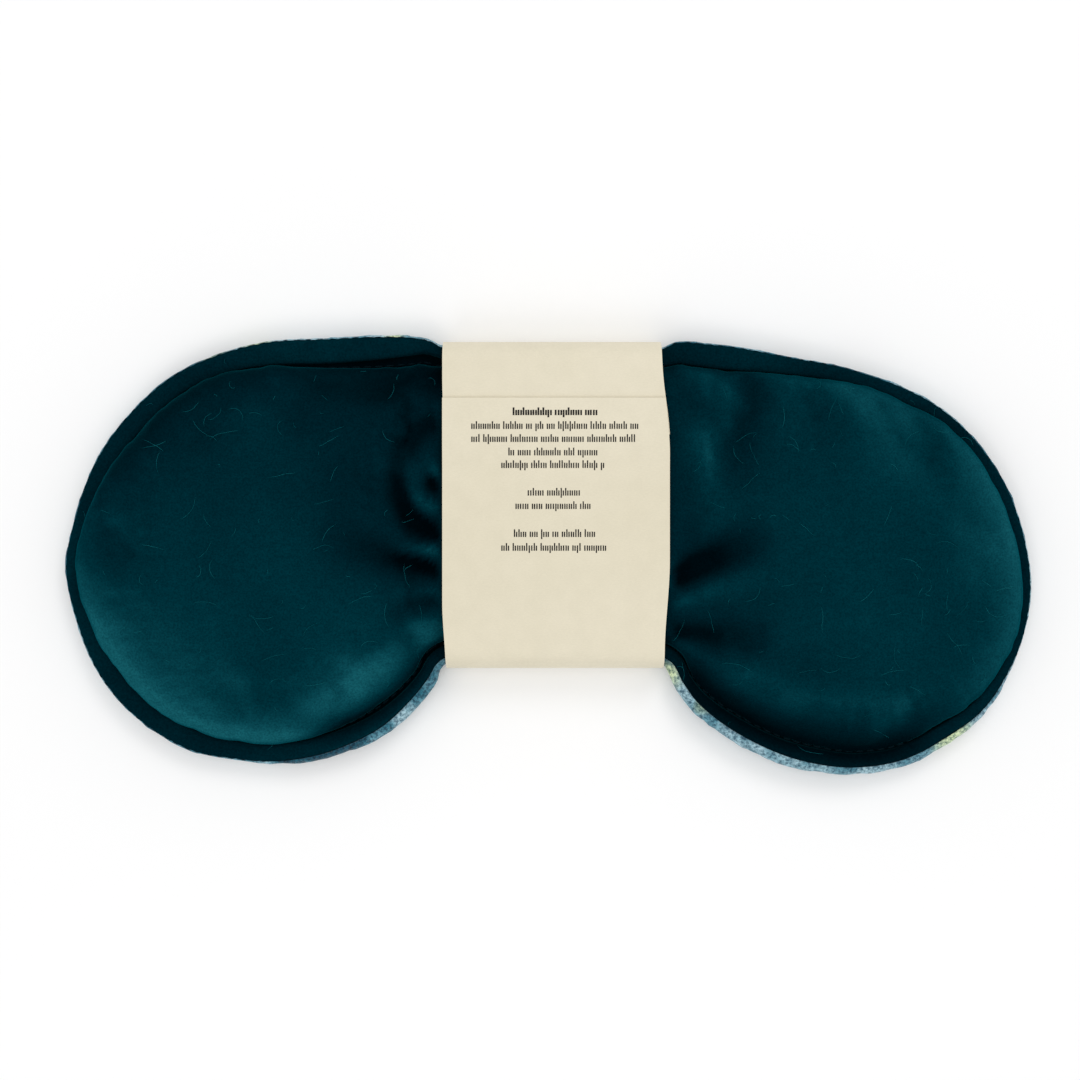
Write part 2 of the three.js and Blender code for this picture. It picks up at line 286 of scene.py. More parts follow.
class Half:
    """The columns of one half of the pillow, anticlockwise, from its sewn edge to its spine."""

    def __init__(self, side, spacing=1.0):
        self.side = side
        count = int(abs(SPINE_ENDS[side] - MIDDLE_X) / spacing / WAIST_STEP)
        xs = np.linspace(MIDDLE_X, SPINE_ENDS[side], count + 1)
        top, low = edge_lengths_for(xs)
        if side < 0:
            low = low - edge_length
        fan = np.linspace(top[-1], low[-1], int(abs(top[-1] - low[-1]) / spacing))[1:-1]
        s = np.concatenate([top, fan, low[::-1]])
        middle = (edge_values(top)[:, 1] + edge_values(low)[:, 1]) / 2
        spine = np.stack([xs, middle], axis=1)
        spine = np.concatenate([spine, np.repeat(spine[-1:], len(fan), 0), spine[::-1]])
        if side > 0:
            s, spine = s[::-1], spine[::-1]
        self.s = s
        self.spine = spine
        values = edge_values(s)
        self.edge = values[:, :2]
        self.inward = edge_inward(s, FLANGE_SPAN)
        self.inward_deep = edge_inward(s, SHOULDER_SPAN)
        self.flange, self.reach, self.over, self.show, self.gap = values[:, FLANGE:].T
        self.crease = crease_height(self.gap)
        self.lift = edge_lift(s)

    def inside(self, inset):
        """The plan's points this far inside the sewn edge."""
        near = np.minimum(inset, self.flange)
        return self.edge + self.inward * near[:, None] + self.inward_deep * (inset - near)[:, None]

    def ring(self, inset, z):
        return np.column_stack([self.inside(inset), z])

    def rings_to_spine(self, last, count, height):
        """The rings after `last`, as high as height(x, y) says."""
        plans = [lerp(last[:, :2], self.spine, share) for share in np.linspace(0, 1, count)[1:]]
        return [np.column_stack([plan, height(*plan.T)]) for plan in plans]


# ---- the stuffed surface ----------------------------------

# Folds that run out from under the band: from, to, height (below zero for a valley), and
# half-width at each end.
FOLDS = [
    ((-27, -3), (-58, 7), -2.5, 3.0, 8.0),
    ((-28, 2), (-46, 3), 1.0, 2.0, 4.0),
    ((-27, -11), (-42, -13), -1.1, 2.2, 4.0),
    ((-24, -25), (-66, -38), 1.6, 6.0, 10.0),
    ((-27, 43), (-52, 41), -0.4, 3.0, 6.0),
    ((30, -7), (57, 6), -3.2, 2.2, 7.0),
    ((33, -12.5), (65, 0), 1.2, 2.5, 7.0),
    ((30, -20), (58, -22), -2.1, 2.0, 5.0),
    ((31, -25), (66, -41), 2.6, 2.8, 6.0),
    ((37, 30), (41, 4), 1.2, 4.0, 5.0),
    ((50, 44), (47, 12), -1.0, 4.0, 7.0),
    ((74, 42), (90, 14), 0.8, 5.0, 8.0),
    ((94, 38), (104, 0), -0.6, 5.0, 7.0),
    ((30, -31), (52, -44), -2.7, 2.5, 4.5),
    ((62, -38), (98, -40), 1.2, 4.0, 6.0),
]


def fold(x, y, start, stop, height, near, far):
    """Height of one fold: highest at its start, and gone at its stop."""
    start = np.array(start, float) + SHIFT
    stop = np.array(stop, float) + SHIFT
    run = stop - start
    length = np.linalg.norm(run)
    along = ((x - start[0]) * run[0] + (y - start[1]) * run[1]) / length ** 2
    across = ((x - start[0]) * run[1] - (y - start[1]) * run[0]) / length
    held = np.clip(along, 0, 1)
    width = lerp(near, far, held)
    past = (along - held) * length / width
    return height * (1 - held ** 1.6) * np.exp(-past ** 2 - (across / width) ** 2)


# A small puff at the left edge of the band, with a crescent pressed in round it and a dimple
# beside it: middles and half-sizes in x and y.
PUFF = (-28, 21.5, 9.5, 13.5)
DIMPLE = (-28.6, 19, 2.2, 3.0)
PUFF_HEIGHT = 0.8
DIMPLE_DEPTH = 2.6
CRESCENT_WIDTH = 0.30  # a share of the puff


def relief(x, y):
    """Height that the folds and the puff add to the stuffed surface."""
    total = sum(fold(x, y, *row) for row in FOLDS)
    round_puff = np.hypot((x - PUFF[0]) / PUFF[2], (y - PUFF[1]) / PUFF[3])
    pressed = 1.1 + 1.5 * smooth((26 - y) / 18)  # deeper towards the crescent's lower end
    total = total - pressed * np.exp(-((round_puff - 1) / CRESCENT_WIDTH) ** 2)
    total = total + PUFF_HEIGHT * np.exp(-(round_puff / 0.5) ** 2)
    total = total - DIMPLE_DEPTH * np.exp(-((x - DIMPLE[0]) / DIMPLE[2]) ** 2
                                          - ((y - DIMPLE[1]) / DIMPLE[3]) ** 2)
    return total


CROWN = 2.7  # how far the middle of a lobe rises
CROWN_SPREAD = (42, 34)
WAIST_DENT = 0.25


def flat_place(x, y):
    """Points for noise() that don't depend on height."""
    return np.stack([x, y, np.zeros_like(x)], axis=-1)


def top_height(x, y):
    """Height of the velvet over the stuffing."""
    away = np.abs(x - MIDDLE_X)
    lobe = smooth((away - 28) / 17)
    place = flat_place(x, y)
    lobe_middle = np.where(x < 0, *LOBE_MIDDLES)
    crown = CROWN * np.exp(-((x - lobe_middle) / CROWN_SPREAD[0]) ** 2 - (y / CROWN_SPREAD[1]) ** 2)
    uneven = 0.30 * noise(place, 26, 3) + 0.10 * noise(place, 9, 4)
    loose = smooth((away - 28.3) / 3.2)  # the band holds the waist smooth
    return (lerp(WAIST_TOP, LOBE_TOP, lobe) + lobe * (crown + uneven)
            + loose * relief(x, y) - (1 - lobe) * WAIST_DENT * (1 + noise(place, 11, 5)))


def bottom_height(x, y):
    """Height of the plush's underside, which lies flat on the table under the lobes."""
    away = np.abs(x - MIDDLE_X)
    return lerp(WAIST_BOTTOM, TABLE_GAP, smooth((away - BEND_FROM) / 10)) + np.zeros_like(y)


def edge_lift(s):
    """How far the sewn edge is curled up beside the nose notch and waves elsewhere."""
    x, y = edge_values(s)[:, :2].T
    at_left = smooth((x + 66) / 18) * smooth((-x - 26) / 6)
    at_right = smooth((x - 30) / 6) * smooth((96 - x) / 26)
    curl = smooth((-y - 20) / 10) * (at_left + at_right)
    place = flat_place(x, y)
    return 1.3 * curl + 0.22 * noise(place, 21, 6) + 0.10 * noise(place, 7, 7)


def softness(edge_x, edge_y):
    """Where the crease opens into a wide soft valley beside the nose notch, most at the right."""
    at_left = 0.6 * smooth((edge_x + 66) / 16) * smooth(-edge_x / 10)
    at_right = smooth((edge_x - 28) / 6) * smooth((112 - edge_x) / 24)
    return smooth((-edge_y - 22) / 12) * (at_left + at_right)


LEAST_ROLL = 0.9


def rim_roll(show):
    """Radius of the rolled edge, and the height above SEAM_Z at which velvet meets plush."""
    roll = np.maximum(show, LEAST_ROLL)
    return roll, FLANGE_HALF * np.sqrt(1 - (1 - show / roll) ** 2)


FLANGE_RISE = 0.5  # the flange's inner edge above the bottom of the crease
LIP_START = math.radians(-22)  # where the lip's section starts, below level
SOFTEST = 0.85  # share of the gentle slope where the crease is softest


def velvet_rings(half):
    """Rings of the velvet from the sewn edge, over the flange and lip, to the spine."""
    _, meet = rim_roll(half.show)
    edge_place = flat_place(*half.edge.T)
    pucker = 0.5 * noise(edge_place, 5.5, 8) + 0.5 * noise(edge_place, 2.6, 9)
    flange_end = half.flange - half.gap
    rings = []
    for share in (1 - np.cos(np.linspace(0, math.pi, 13))) / 2:
        inset = lerp(half.show + 0.05, flange_end, share)
        arch = (1 - abs(2 * share - 1) ** 3) ** (1 / 3)
        ends = lerp(SEAM_Z + meet - 0.35, half.crease + FLANGE_RISE, smooth(share))
        height = lerp(ends, SEAM_Z + FLANGE_HALF + 0.15 * pucker, arch)
        rings.append(half.ring(inset, height + half.lift * (1 - share ** 2)))
    for share, drop in ((0.35, 0.4), (0.75, 0.5)):
        inset = lerp(flange_end, half.flange, share)
        rings.append(half.ring(inset, half.crease + FLANGE_RISE - drop))
    reach = half.reach + 0.9 * pucker
    over = half.over + 0.45 * pucker
    soft = SOFTEST * softness(*half.edge.T)
    below = math.sin(-LIP_START)
    for angle in np.linspace(LIP_START, math.pi / 2, 19):
        level = 1 - math.cos(max(angle, 0))
        point = half.inside(half.flange - over * bulge(angle) + reach * level)
        top = top_height(*point.T)
        middle = (half.crease + top * below) / (1 + below)
        round_z = middle + (top - middle) * math.sin(angle)
        gentle_z = half.crease + (top - half.crease) * smooth(level)
        rings.append(np.column_stack([point, lerp(round_z, gentle_z, soft)]))
    return np.array(rings + half.rings_to_spine(rings[-1], 21, top_height))


def bulge(angle):
    """How much of the lip's overhang stands out at this angle round its section."""
    return math.sin(math.pi * min((angle - LIP_START) / (math.pi / 2 - LIP_START) / 0.75, 1))


CREASE_RING = 14  # the last of the velvet's rings at the bottom of the crease
PLUSH_CREASE_RING = 17

# How much each term adds to the velvet's tone, which is mostly painted light and shade; pairs are
# for the left and the right lobe.
NAP_BASE = 0.31
NAP_CLOUDS = 0.06
PAINTED_SHADE_BESIDE_BAND = (0.12, 0.05)
PAINTED_LIGHT_ON_LOBE = 0.10
PAINTED_LIGHT_OUTWARD = 0.16
PAINTED_FOLD_LIGHT_AND_SHADE = 0.36
PAINTED_RIM_LIGHT_AND_SHADE = (0.50, 0.33)
PAINTED_CREASE_SHADE = 0.92
PAINTED_HOLLOW_SHADE_WIDTH = (4, 5)
LEAST_FACING = -0.3


def painted_light_of(rings):
    """Velvet tone from 0, darkest, to 1, palest: a base level with random patches, under painted
    light and shade on the rims, folds, crease, hollow and lobes.
    """
    x, y, z = np.moveaxis(rings, -1, 0)
    left = x < MIDDLE_X
    from_crease = np.linalg.norm((rings - rings[CREASE_RING])[..., :2], axis=2)
    # Painted shade in the wide soft valley beside the nose notch, darkest at the crease.
    hollow = np.exp(-(from_crease / np.where(left, *PAINTED_HOLLOW_SHADE_WIDTH)) ** 2)
    hollow = softness(x[0], y[0]) * hollow
    away = np.abs(x - MIDDLE_X)
    # Painted shade beside the band's edges, fading within a few millimetres.
    beside_band = np.exp(-np.maximum(away - BEND_FROM, 0) / 4.5)
    # Painted light: each lobe is lighter towards the lower left on the left and towards the right
    # on the right.
    outward = np.where(left, (-x + LOBE_MIDDLES[0]) * 0.25 - y * 0.9,
                       (x - LOBE_MIDDLES[1]) * 0.8 + y * 0.1) / 60
    # Painted light and shade on the folds: lighter on their ridges, darker in their valleys.
    folds = np.clip(relief(x, y) / 2.2, -1, 0.7) * smooth((away - 28) / 3)
    # Painted highlight on steep rims facing the lower left on the left lobe and the right on the
    # right lobe; painted shade on rims facing away.
    normal = grid_normals(rings)
    steep = np.sqrt(1 - np.clip(normal[..., 2], 0, 1) ** 2)
    flat = normal[..., :2] / np.maximum(steep, 1e-3)[..., None]
    facing = np.where(left, -0.35 * flat[..., 0] - 0.95 * flat[..., 1],
                      0.9 * flat[..., 0] + 0.25 * flat[..., 1])
    rim = smooth(steep * 1.7) * np.maximum(facing, LEAST_FACING)
    # Only the lobes, above the flange, get this painted light and shade, and they are painted
    # lighter than the flange.
    on_lobe = smooth((z - 6.2) / 2)
    value = (NAP_BASE + NAP_CLOUDS * noise(rings, 18, 21)
             - np.where(left, *PAINTED_SHADE_BESIDE_BAND) * beside_band
             + on_lobe * (PAINTED_LIGHT_ON_LOBE + PAINTED_LIGHT_OUTWARD * outward + PAINTED_FOLD_LIGHT_AND_SHADE * folds
                          + np.where(left, *PAINTED_RIM_LIGHT_AND_SHADE) * rim))
    # Painted shade in the crease and up the foot of the lip: the velvet there is made almost black.
    in_crease = np.interp(np.arange(len(rings)), [10, 12, 17, 24], [0, 1, 1, 0])
    return np.clip(value, 0, 1) * (1 - PAINTED_CREASE_SHADE * in_crease[:, None]) * (1 - hollow)


def plush_rings(half):
    """Rings of the plush from its meeting with the velvet, round the edge, to the spine."""
    roll, meet = rim_roll(half.show)
    place = flat_place(*half.edge.T)
    fuzz = 0.22 * noise(place, 1.6, 11) + 0.14 * noise(place, 3.7, 12)
    rings = []
    begin = np.arcsin(np.clip(meet / FLANGE_HALF, 0, 1))
    for share in np.linspace(0, 1, 9):
        angle = lerp(begin, -math.pi / 2, share)
        inset = roll * (1 - np.cos(angle)) - fuzz * math.sin(math.pi * share)
        rings.append(half.ring(inset, SEAM_Z + FLANGE_HALF * np.sin(angle) + half.lift))
    flange_end = half.flange - half.gap
    low_end = np.minimum(SEAM_Z - FLANGE_HALF, half.crease - 0.7)
    for share in np.linspace(0, 1, 8)[1:]:
        z = lerp(SEAM_Z - FLANGE_HALF, low_end, smooth(share)) + half.lift * (1 - share ** 2)
        rings.append(half.ring(lerp(roll, flange_end, share), z))
    for share in (0.4, 1.0):
        inset = lerp(flange_end, half.flange, share)
        rings.append(half.ring(inset, half.crease - 0.9 - 0.2 * share))
    for angle in np.linspace(0, math.pi / 2, 13)[1:]:
        inset = half.flange + 0.85 * half.reach * (1 - math.cos(angle))
        low = bottom_height(*half.inside(inset).T)
        rings.append(half.ring(inset, lerp(half.crease - 1.1, low, math.sin(angle))))
    return np.array(rings + half.rings_to_spine(rings[-1], 15, bottom_height))


GREEN_PATCHES = ((31, -31, 3.2), (105, -48, 5.5), (-40, 56.5, 2.2))  # x, y, size


def tinge_of(rings):
    """How green the plush's print is: three patches show at its edge."""
    tinge = sum(np.exp(-(((rings[..., 0] - x) ** 2 + (rings[..., 1] - y) ** 2) / size ** 2) ** 2)
                for x, y, size in GREEN_PATCHES)
    return np.clip(tinge, 0, 1)


def grid_normals(rings):
    """Normals of a ring grid, turned so that a flat upper side points up."""
    along = np.gradient(rings, axis=1)
    across = np.gradient(rings, axis=0)
    normal = np.cross(along, across)
    size = np.linalg.norm(normal, axis=2, keepdims=True)
    return normal / np.maximum(size, 1e-9)


def cloth_piece(name, rings, upper, material):
    """A closed sheet of cloth with the rings as its outer face."""
    rows, columns, _ = rings.shape
    # The velvet stores its painted light and shade, the plush the green patches of its print.
    painted_light_and_print = np.tile((painted_light_of(rings) if upper else tinge_of(rings)).ravel(), 2)
    inner = rings - grid_normals(rings) * CLOTH * (1 if upper else -1)
    inner[-1] = rings[-1] - np.array([0, 0, CLOTH if upper else -CLOTH])
    points = np.concatenate([rings.reshape(-1, 3), inner.reshape(-1, 3)])
    inside = rows * columns
    faces = grid_faces(rows, columns, flip=not upper)
    faces += grid_faces(rows, columns, inside, flip=upper)
    index = np.arange(inside).reshape(rows, columns)
    for side in (index[0, ::-1], index[:, 0], index[::-1, -1]):
        faces += side_faces(side.tolist(), inside, flip=not upper)
    obj = make_mesh(name, points, faces, material, painted_light_and_print)
    with editing(obj.data) as bm:
        mark_sharp([bm_edge for bm_edge in bm.edges
                    if all(abs(v.co.x / MM - MIDDLE_X) < 0.8 for v in bm_edge.verts)], 1.0)
    return obj


# ---- cloth simulation -------------------------------------

SETTLE_FRAMES = 20
SETTLE_VOXEL = 4.5
SETTLE_CAP = 1.5  # the most that a point may move
PRESSURE = 4.0
HELD_RINGS = 3  # past the crease, held with the flange
HELD_FROM_MIDDLE = 31
FREE_RINGS = 8  # after which, and this many millimetres, the cloth moves in full
NEIGHBOURS = 6


def search_tree(points):
    tree = KDTree(len(points))
    for index, point in enumerate(points):
        tree.insert(point, index)
    tree.balance()
    return tree


def vertex_places(obj):
    """The evaluated object's vertices in millimetres."""
    mesh = obj.evaluated_get(bpy.context.evaluated_depsgraph_get()).data
    places = np.zeros(len(mesh.vertices) * 3)
    mesh.vertices.foreach_get("co", places)
    return places.reshape(-1, 3) / MM


def filled_bag(grids):
    """A closed even mesh of the whole pillow, its vertices, and how many rings past the crease
    each of them is."""
    points, faces, past_crease = [], [], []
    for rings, crease_ring in grids:
        rows, columns, _ = rings.shape
        faces += grid_faces(rows, columns, len(points))
        points.extend(rings.reshape(-1, 3))
        past_crease.extend(np.repeat(np.arange(rows) - crease_ring, columns))
    bag = make_mesh("bag", points, faces, velvet)
    remesh = bag.modifiers.new("remesh", "REMESH")
    remesh.mode = "VOXEL"
    remesh.voxel_size = SETTLE_VOXEL * MM
    depsgraph = bpy.context.evaluated_depsgraph_get()
    bag.data = bpy.data.meshes.new_from_object(bag.evaluated_get(depsgraph))
    bag.modifiers.clear()
    start = vertex_places(bag)
    near = search_tree(points)
    return bag, start, np.array([past_crease[near.find(point)[1]] for point in start])


def settle(grids):
    """Fills the bag under pressure as cloth held at its crease and under the band, and moves the
    rings of each grid with it. A grid is (rings, ring of the crease)."""
    bag, start, past_crease = filled_bag(grids)
    held = (past_crease < HELD_RINGS) | (np.abs(start[:, 0] - MIDDLE_X) < HELD_FROM_MIDDLE)
    group = bag.vertex_groups.new(name="held")
    group.add([int(i) for i in np.flatnonzero(held)], 1.0, "REPLACE")
    cloth = bag.modifiers.new("cloth", "CLOTH")
    cloth.settings.quality = 6
    cloth.settings.mass = 0.3
    cloth.settings.use_pressure = True
    cloth.settings.uniform_pressure_force = PRESSURE
    cloth.settings.effector_weights.gravity = 0
    cloth.settings.vertex_group_mass = "held"
    cloth.settings.shrink_min = -0.015
    cloth.point_cache.frame_start = 1
    cloth.point_cache.frame_end = SETTLE_FRAMES
    for frame_number in range(1, SETTLE_FRAMES + 1):
        bpy.context.scene.frame_set(frame_number)
    moved = vertex_places(bag) - start
    bpy.context.scene.frame_set(1)
    bpy.data.objects.remove(bag)
    distance = np.maximum(np.linalg.norm(moved, axis=1), 1e-9)
    moved *= np.minimum(1, SETTLE_CAP / distance)[:, None]
    tree = search_tree(start)
    for rings, crease_ring in grids:
        away = np.abs(rings[..., 0] - MIDDLE_X)
        past = (np.arange(len(rings)) - crease_ring - HELD_RINGS)[:, None]
        free = smooth(past / FREE_RINGS) * smooth((away - HELD_FROM_MIDDLE) / FREE_RINGS)
        for row, column in np.argwhere(free > 0):
            found = tree.find_n(rings[row, column], NEIGHBOURS)
            weight = np.array([1 / (distance ** 2 + 2) for _, _, distance in found])
            share = sum(w * moved[i] for w, (_, i, _) in zip(weight, found)) / weight.sum()
            rings[row, column] += free[row, column] * share
        rings[..., 2] = np.maximum(rings[..., 2], TABLE_GAP)


# ---- sewing, filling and lint -----------------------------

TUBE_TIP = 0.35  # how far a tube is drawn in at its ends


def tube_points(path, radius, sides):
    """Rings of points round a path, drawn in at its ends."""
    path = np.asarray(path, float)
    ahead = np.gradient(path, axis=0)
    ahead /= np.linalg.norm(ahead, axis=1)[:, None]
    side = np.cross(ahead, [0, 0, 1])
    side /= np.maximum(np.linalg.norm(side, axis=1)[:, None], 1e-9)
    up = np.cross(side, ahead)
    size = np.full(len(path), radius)
    size[0] = size[-1] = radius * TUBE_TIP
    turn = np.arange(sides) / sides * 2 * math.pi
    return (path[:, None] + size[:, None, None] * (
        np.cos(turn)[None, :, None] * side[:, None] + np.sin(turn)[None, :, None] * up[:, None]))


def tubes(name, paths, radius, sides, material):
    """One object made of closed tubes along each path."""
    points, faces = [], []
    for path in paths:
        rings = tube_points(path, radius, sides)
        offset = len(points)
        points.extend(rings.reshape(-1, 3))
        faces += grid_faces(len(path), sides, offset, flip=True, wrap=True)
        faces.append(tuple(offset + i for i in range(sides)))
        faces.append(tuple(offset + (len(path) - 1) * sides + i for i in reversed(range(sides))))
    return make_mesh(name, points, faces, material)


def span_of(half):
    """The lengths along the edge at which a half starts and ends, in rising order."""
    return min(half.s[0], half.s[-1]), max(half.s[0], half.s[-1])


STITCH_PITCH = 3.1
STITCH_LENGTH = 2.4
STITCH_POINTS = 6


def stitch_paths(half, upper):
    """Short stitches end to end in the crease, on the velvet or on the plush."""
    low, high = span_of(half)
    paths = []
    for start in np.arange(low + STITCH_PITCH / 2, high - STITCH_PITCH, STITCH_PITCH):
        s = start + np.linspace(0, STITCH_LENGTH, STITCH_POINTS)
        values = edge_values(s)
        inset = values[:, FLANGE, None] - 0.35 * values[:, GAP, None]
        plan = values[:, :2] + edge_inward(s) * inset
        dip = 0.22 * np.abs(np.linspace(-1, 1, STITCH_POINTS)) ** 3
        crease = crease_height(values[:, GAP])
        paths.append(np.column_stack([plan, crease + 0.15 - dip if upper else crease - 1.3 + dip]))
    return paths


def seam_path(half):
    """The seam thread in the groove where the velvet meets the plush."""
    low, high = span_of(half)
    s = np.arange(low, high, 1.2)
    values = edge_values(s)
    _, meet = rim_roll(values[:, SHOW])
    plan = values[:, :2] + edge_inward(s) * (values[:, SHOW, None] + 0.12)
    wave = 0.10 * np.sin(s * 2.1)
    return np.column_stack([plan, SEAM_Z + meet - 0.22 + edge_lift(s) + wave])


GRAIN_MARGIN = 3.6  # from the cloth's outer face
GRAIN_SPACING = 3.5


def grain_piece(name, half, material):
    """The loose filling: a closed body well inside both cloths."""
    coarse = Half(half.side, spacing=GRAIN_SPACING)
    rings = []

    def ring(inset, share, upper, rise):
        point = lerp(coarse.inside(inset), coarse.spine, share)
        x, y = point.T
        top, low = top_height(x, y) - GRAIN_MARGIN, bottom_height(x, y) + GRAIN_MARGIN
        z = lerp(SEAM_Z + 0.5, top if upper else low, rise)
        rings.append(np.column_stack([point, z]))

    start = coarse.flange + 3.2
    for inset, share, upper, rise in (
            (13, 1, False, 1), (8, 0, False, 1), (3, 0, False, 0.7), (0, 0, False, 0),
            (0.8, 0, True, 0.35), (4, 0, True, 0.72), (9, 0, True, 0.93)):
        ring(start + inset, share, upper, rise)
    for share in np.linspace(0, 1, 13):
        ring(start + 13, share, True, 1)
    rings = np.array(rings)
    rows, columns, _ = rings.shape
    obj = make_mesh(name, rings.reshape(-1, 3), grid_faces(rows, columns), material)
    with editing(obj.data) as bm:
        bmesh.ops.holes_fill(bm, edges=[e for e in bm.edges if e.is_boundary])
        bmesh.ops.recalc_face_normals(bm, faces=bm.faces)
    return obj


LINT_COUNT = 90
LINT_POINTS = 8
LINT_X = {-1: (-120, -30), 1: (33, 120)}
LINT_Y = (-50, 52)
LINT_LOW_Z = 6  # keeps it off the flange


def lint_paths(half, cloth, rng):
    """Fine loose fibres that lie on the velvet, curled at random."""
    tree = BVHTree.FromObject(cloth, bpy.context.evaluated_depsgraph_get())
    paths = []
    while len(paths) < LINT_COUNT:
        x, y = rng.uniform(*LINT_X[half.side]), rng.uniform(*LINT_Y)
        length = 1.2 + 7.5 * rng.random() ** 1.6
        heading = rng.uniform(0, 2 * math.pi)
        curl = rng.normal(0, 0.16)
        path = []
        for step in range(LINT_POINTS):
            hit = tree.ray_cast(Vector((x * MM, y * MM, 0.05)), Vector((0, 0, -1)))[0]
            if hit is None or hit.z / MM < LINT_LOW_Z:
                break
            arch = 0.10 * math.sin(math.pi * step / (LINT_POINTS - 1))
            path.append((x, y, hit.z / MM + 0.05 + arch))
            heading += curl + rng.normal(0, 0.14)
            x += math.cos(heading) * length / LINT_POINTS
            y += math.sin(heading) * length / LINT_POINTS
        if len(path) == LINT_POINTS:
            paths.append(path)
    return paths


# ---- belly band -------------------------------------------

CARD = 0.36  # thickness
LAP_UNDER_Y = 30.4 + SHIFT[1]  # the hidden end of the strip
LAP_OVER_Y = 39.7 + SHIFT[1]  # its free edge
CARD_TOP = 13.82
CARD_BOTTOM = 0.2
FOLD_DEPTH = 4.5  # of each rounded fold, along Y
LAP_AIR = 0.2  # between the two layers of the lap


def lap_rise(y):
    """How far the upper layer rises to pass over the hidden end."""
    return (CARD + LAP_AIR) * smooth((y - LAP_UNDER_Y + 9) / 7)


def band_path():
    """The strip's middle line in (Y, Z), from the hidden end, once round, to the free edge."""
    middle, radius = (CARD_TOP + CARD_BOTTOM) / 2, (CARD_TOP - CARD_BOTTOM) / 2
    high_y = band_high[1] - CARD / 2 - FOLD_DEPTH
    low_y = band_low[1] + CARD / 2 + FOLD_DEPTH

    def level(start, stop, z, count):
        return [(y, z) for y in np.linspace(start, stop, count)]

    def folded(y, start, stop):
        return [(y + FOLD_DEPTH * math.cos(angle), middle + radius * math.sin(angle))
                for angle in np.linspace(start, stop, 17)]

    path = level(LAP_UNDER_Y, high_y, CARD_TOP, 8)[:-1]
    path += folded(high_y, math.pi / 2, -math.pi / 2)
    path += level(high_y, low_y, CARD_BOTTOM, 40)[1:-1]
    path += folded(low_y, -math.pi / 2, -math.pi * 1.5)
    for y in np.linspace(low_y, LAP_OVER_Y, 46)[1:]:
        path.append((y, CARD_TOP + float(lap_rise(y))))
    return np.array(path)


def band_top(y):
    """Height of the card's upper face where the print is."""
    return CARD_TOP + CARD / 2 + lap_rise(y)


def card_piece(material):
    """The strip of card, whose edges bow a little."""
    path = band_path()
    ahead = np.gradient(path, axis=0)
    ahead /= np.linalg.norm(ahead, axis=1)[:, None]
    outward = np.column_stack([-ahead[:, 1], ahead[:, 0]])
    across = np.linspace(0, 1, 25)
    run = np.concatenate([[0], np.cumsum(np.linalg.norm(np.diff(path, axis=0), axis=1))])
    under = smooth((14 - run) / 10)  # the under layer of the lap sits a little askew
    from_middle = path[:, 0] - (band_low[1] + band_high[1]) / 2
    left_x = band_low[0] + 0.8 * smooth((-from_middle - 25) / 16)
    right_x = (band_high[0] + 0.6 - 2.0 * smooth((from_middle - 12) / 28)
               - 1.3 * smooth((-from_middle - 14) / 24))
    layers = []
    for sign in (1, -1):
        layer = np.zeros((len(path), len(across), 3))
        for i, share in enumerate(across):
            place = flat_place(np.full(len(run), share * 3), run / 24)
            layer[:, i, 0] = lerp(left_x, right_x, share) + 0.25 * under
            layer[:, i, 1:] = path + outward * (sign * CARD / 2)
            layer[:, i, 2] += 0.03 * noise(place, 1, 14) * smooth((path[:, 1] - 3) / 6)
        layers.append(layer)
    rows, columns = len(path), len(across)
    points = np.concatenate([layer.reshape(-1, 3) for layer in layers])
    inside = rows * columns
    faces = grid_faces(rows, columns) + grid_faces(rows, columns, inside, flip=True)
    index = np.arange(inside).reshape(rows, columns)
    for side in (index[0, ::-1], index[-1], index[:, 0], index[::-1, -1]):
        faces += side_faces(side.tolist(), inside)
    obj = make_mesh("card_wrap", points, faces, material)
    with editing(obj.data) as bm:
        bmesh.ops.recalc_face_normals(bm, faces=bm.faces)
        mark_sharp(bm.edges, math.radians(50))
    return obj


# Lines of the print: height above the middle of the band, half-length, and whether it is bold.
# Each is a row of plain upright ticks in word-long groups, in place of lettering.
PRINT_LINES = [
    (35.9, 10.7, True), (32.4, 21.2, False), (29.1, 21.2, False), (25.7, 11.8, False),
    (22.5, 13.6, False), (15.5, 6.9, False), (12.1, 10.0, False), (5.0, 10.4, False),
    (1.5, 13.6, False),
]


BOX_FACES = ((3, 2, 1, 0), (4, 5, 6, 7), (0, 1, 5, 4), (1, 2, 6, 5), (2, 3, 7, 6), (3, 0, 4, 7))
INK_SUNK = 0.02
INK_RAISED = 0.05
TICK_SHORT = 1.35
TICK_TALL = 1.95
TICK_DROP = 0.55  # how far a few of them reach below the line
BASE_DROP = 0.65  # from the middle of a line to the foot of its ticks
END_ROOM = 0.8  # a line stops this far from its end


def print_piece(material, rng):
    """The rows of ticks, each tick a thin box set in the card."""
    points, faces = [], []

    def tick(x, y, wide, tall):
        low = band_top(y) - INK_SUNK
        corners = [(x, y), (x + wide, y), (x + wide, y + tall), (x, y + tall)]
        offset = len(points)
        points.extend([(a, b, float(low)) for a, b in corners])
        points.extend([(a, b, float(band_top(b)) + INK_RAISED) for a, b in corners])
        faces.extend(tuple(offset + i for i in quad) for quad in BOX_FACES)

    for y, half_length, bold in PRINT_LINES:
        x = MIDDLE_X - half_length
        end = MIDDLE_X + half_length - END_ROOM
        base = y + SHIFT[1] - BASE_DROP
        wide, pitch = (0.44, 0.76) if bold else (0.32, 0.64)
        while x < end:
            group = rng.integers(2, 9)
            for _ in range(group):
                if x > end:
                    break
                tall = TICK_SHORT if rng.random() < 0.68 else TICK_TALL
                drop = TICK_DROP if rng.random() < 0.08 else 0
                tick(x, base - drop, wide, tall + drop)
                if rng.random() < 0.72:
                    tick(x + wide + 0.22, base, wide, 1.3)
                    x += 0.50
                x += pitch
            x += 0.60
    return make_mesh("print_marks", points, faces, material)


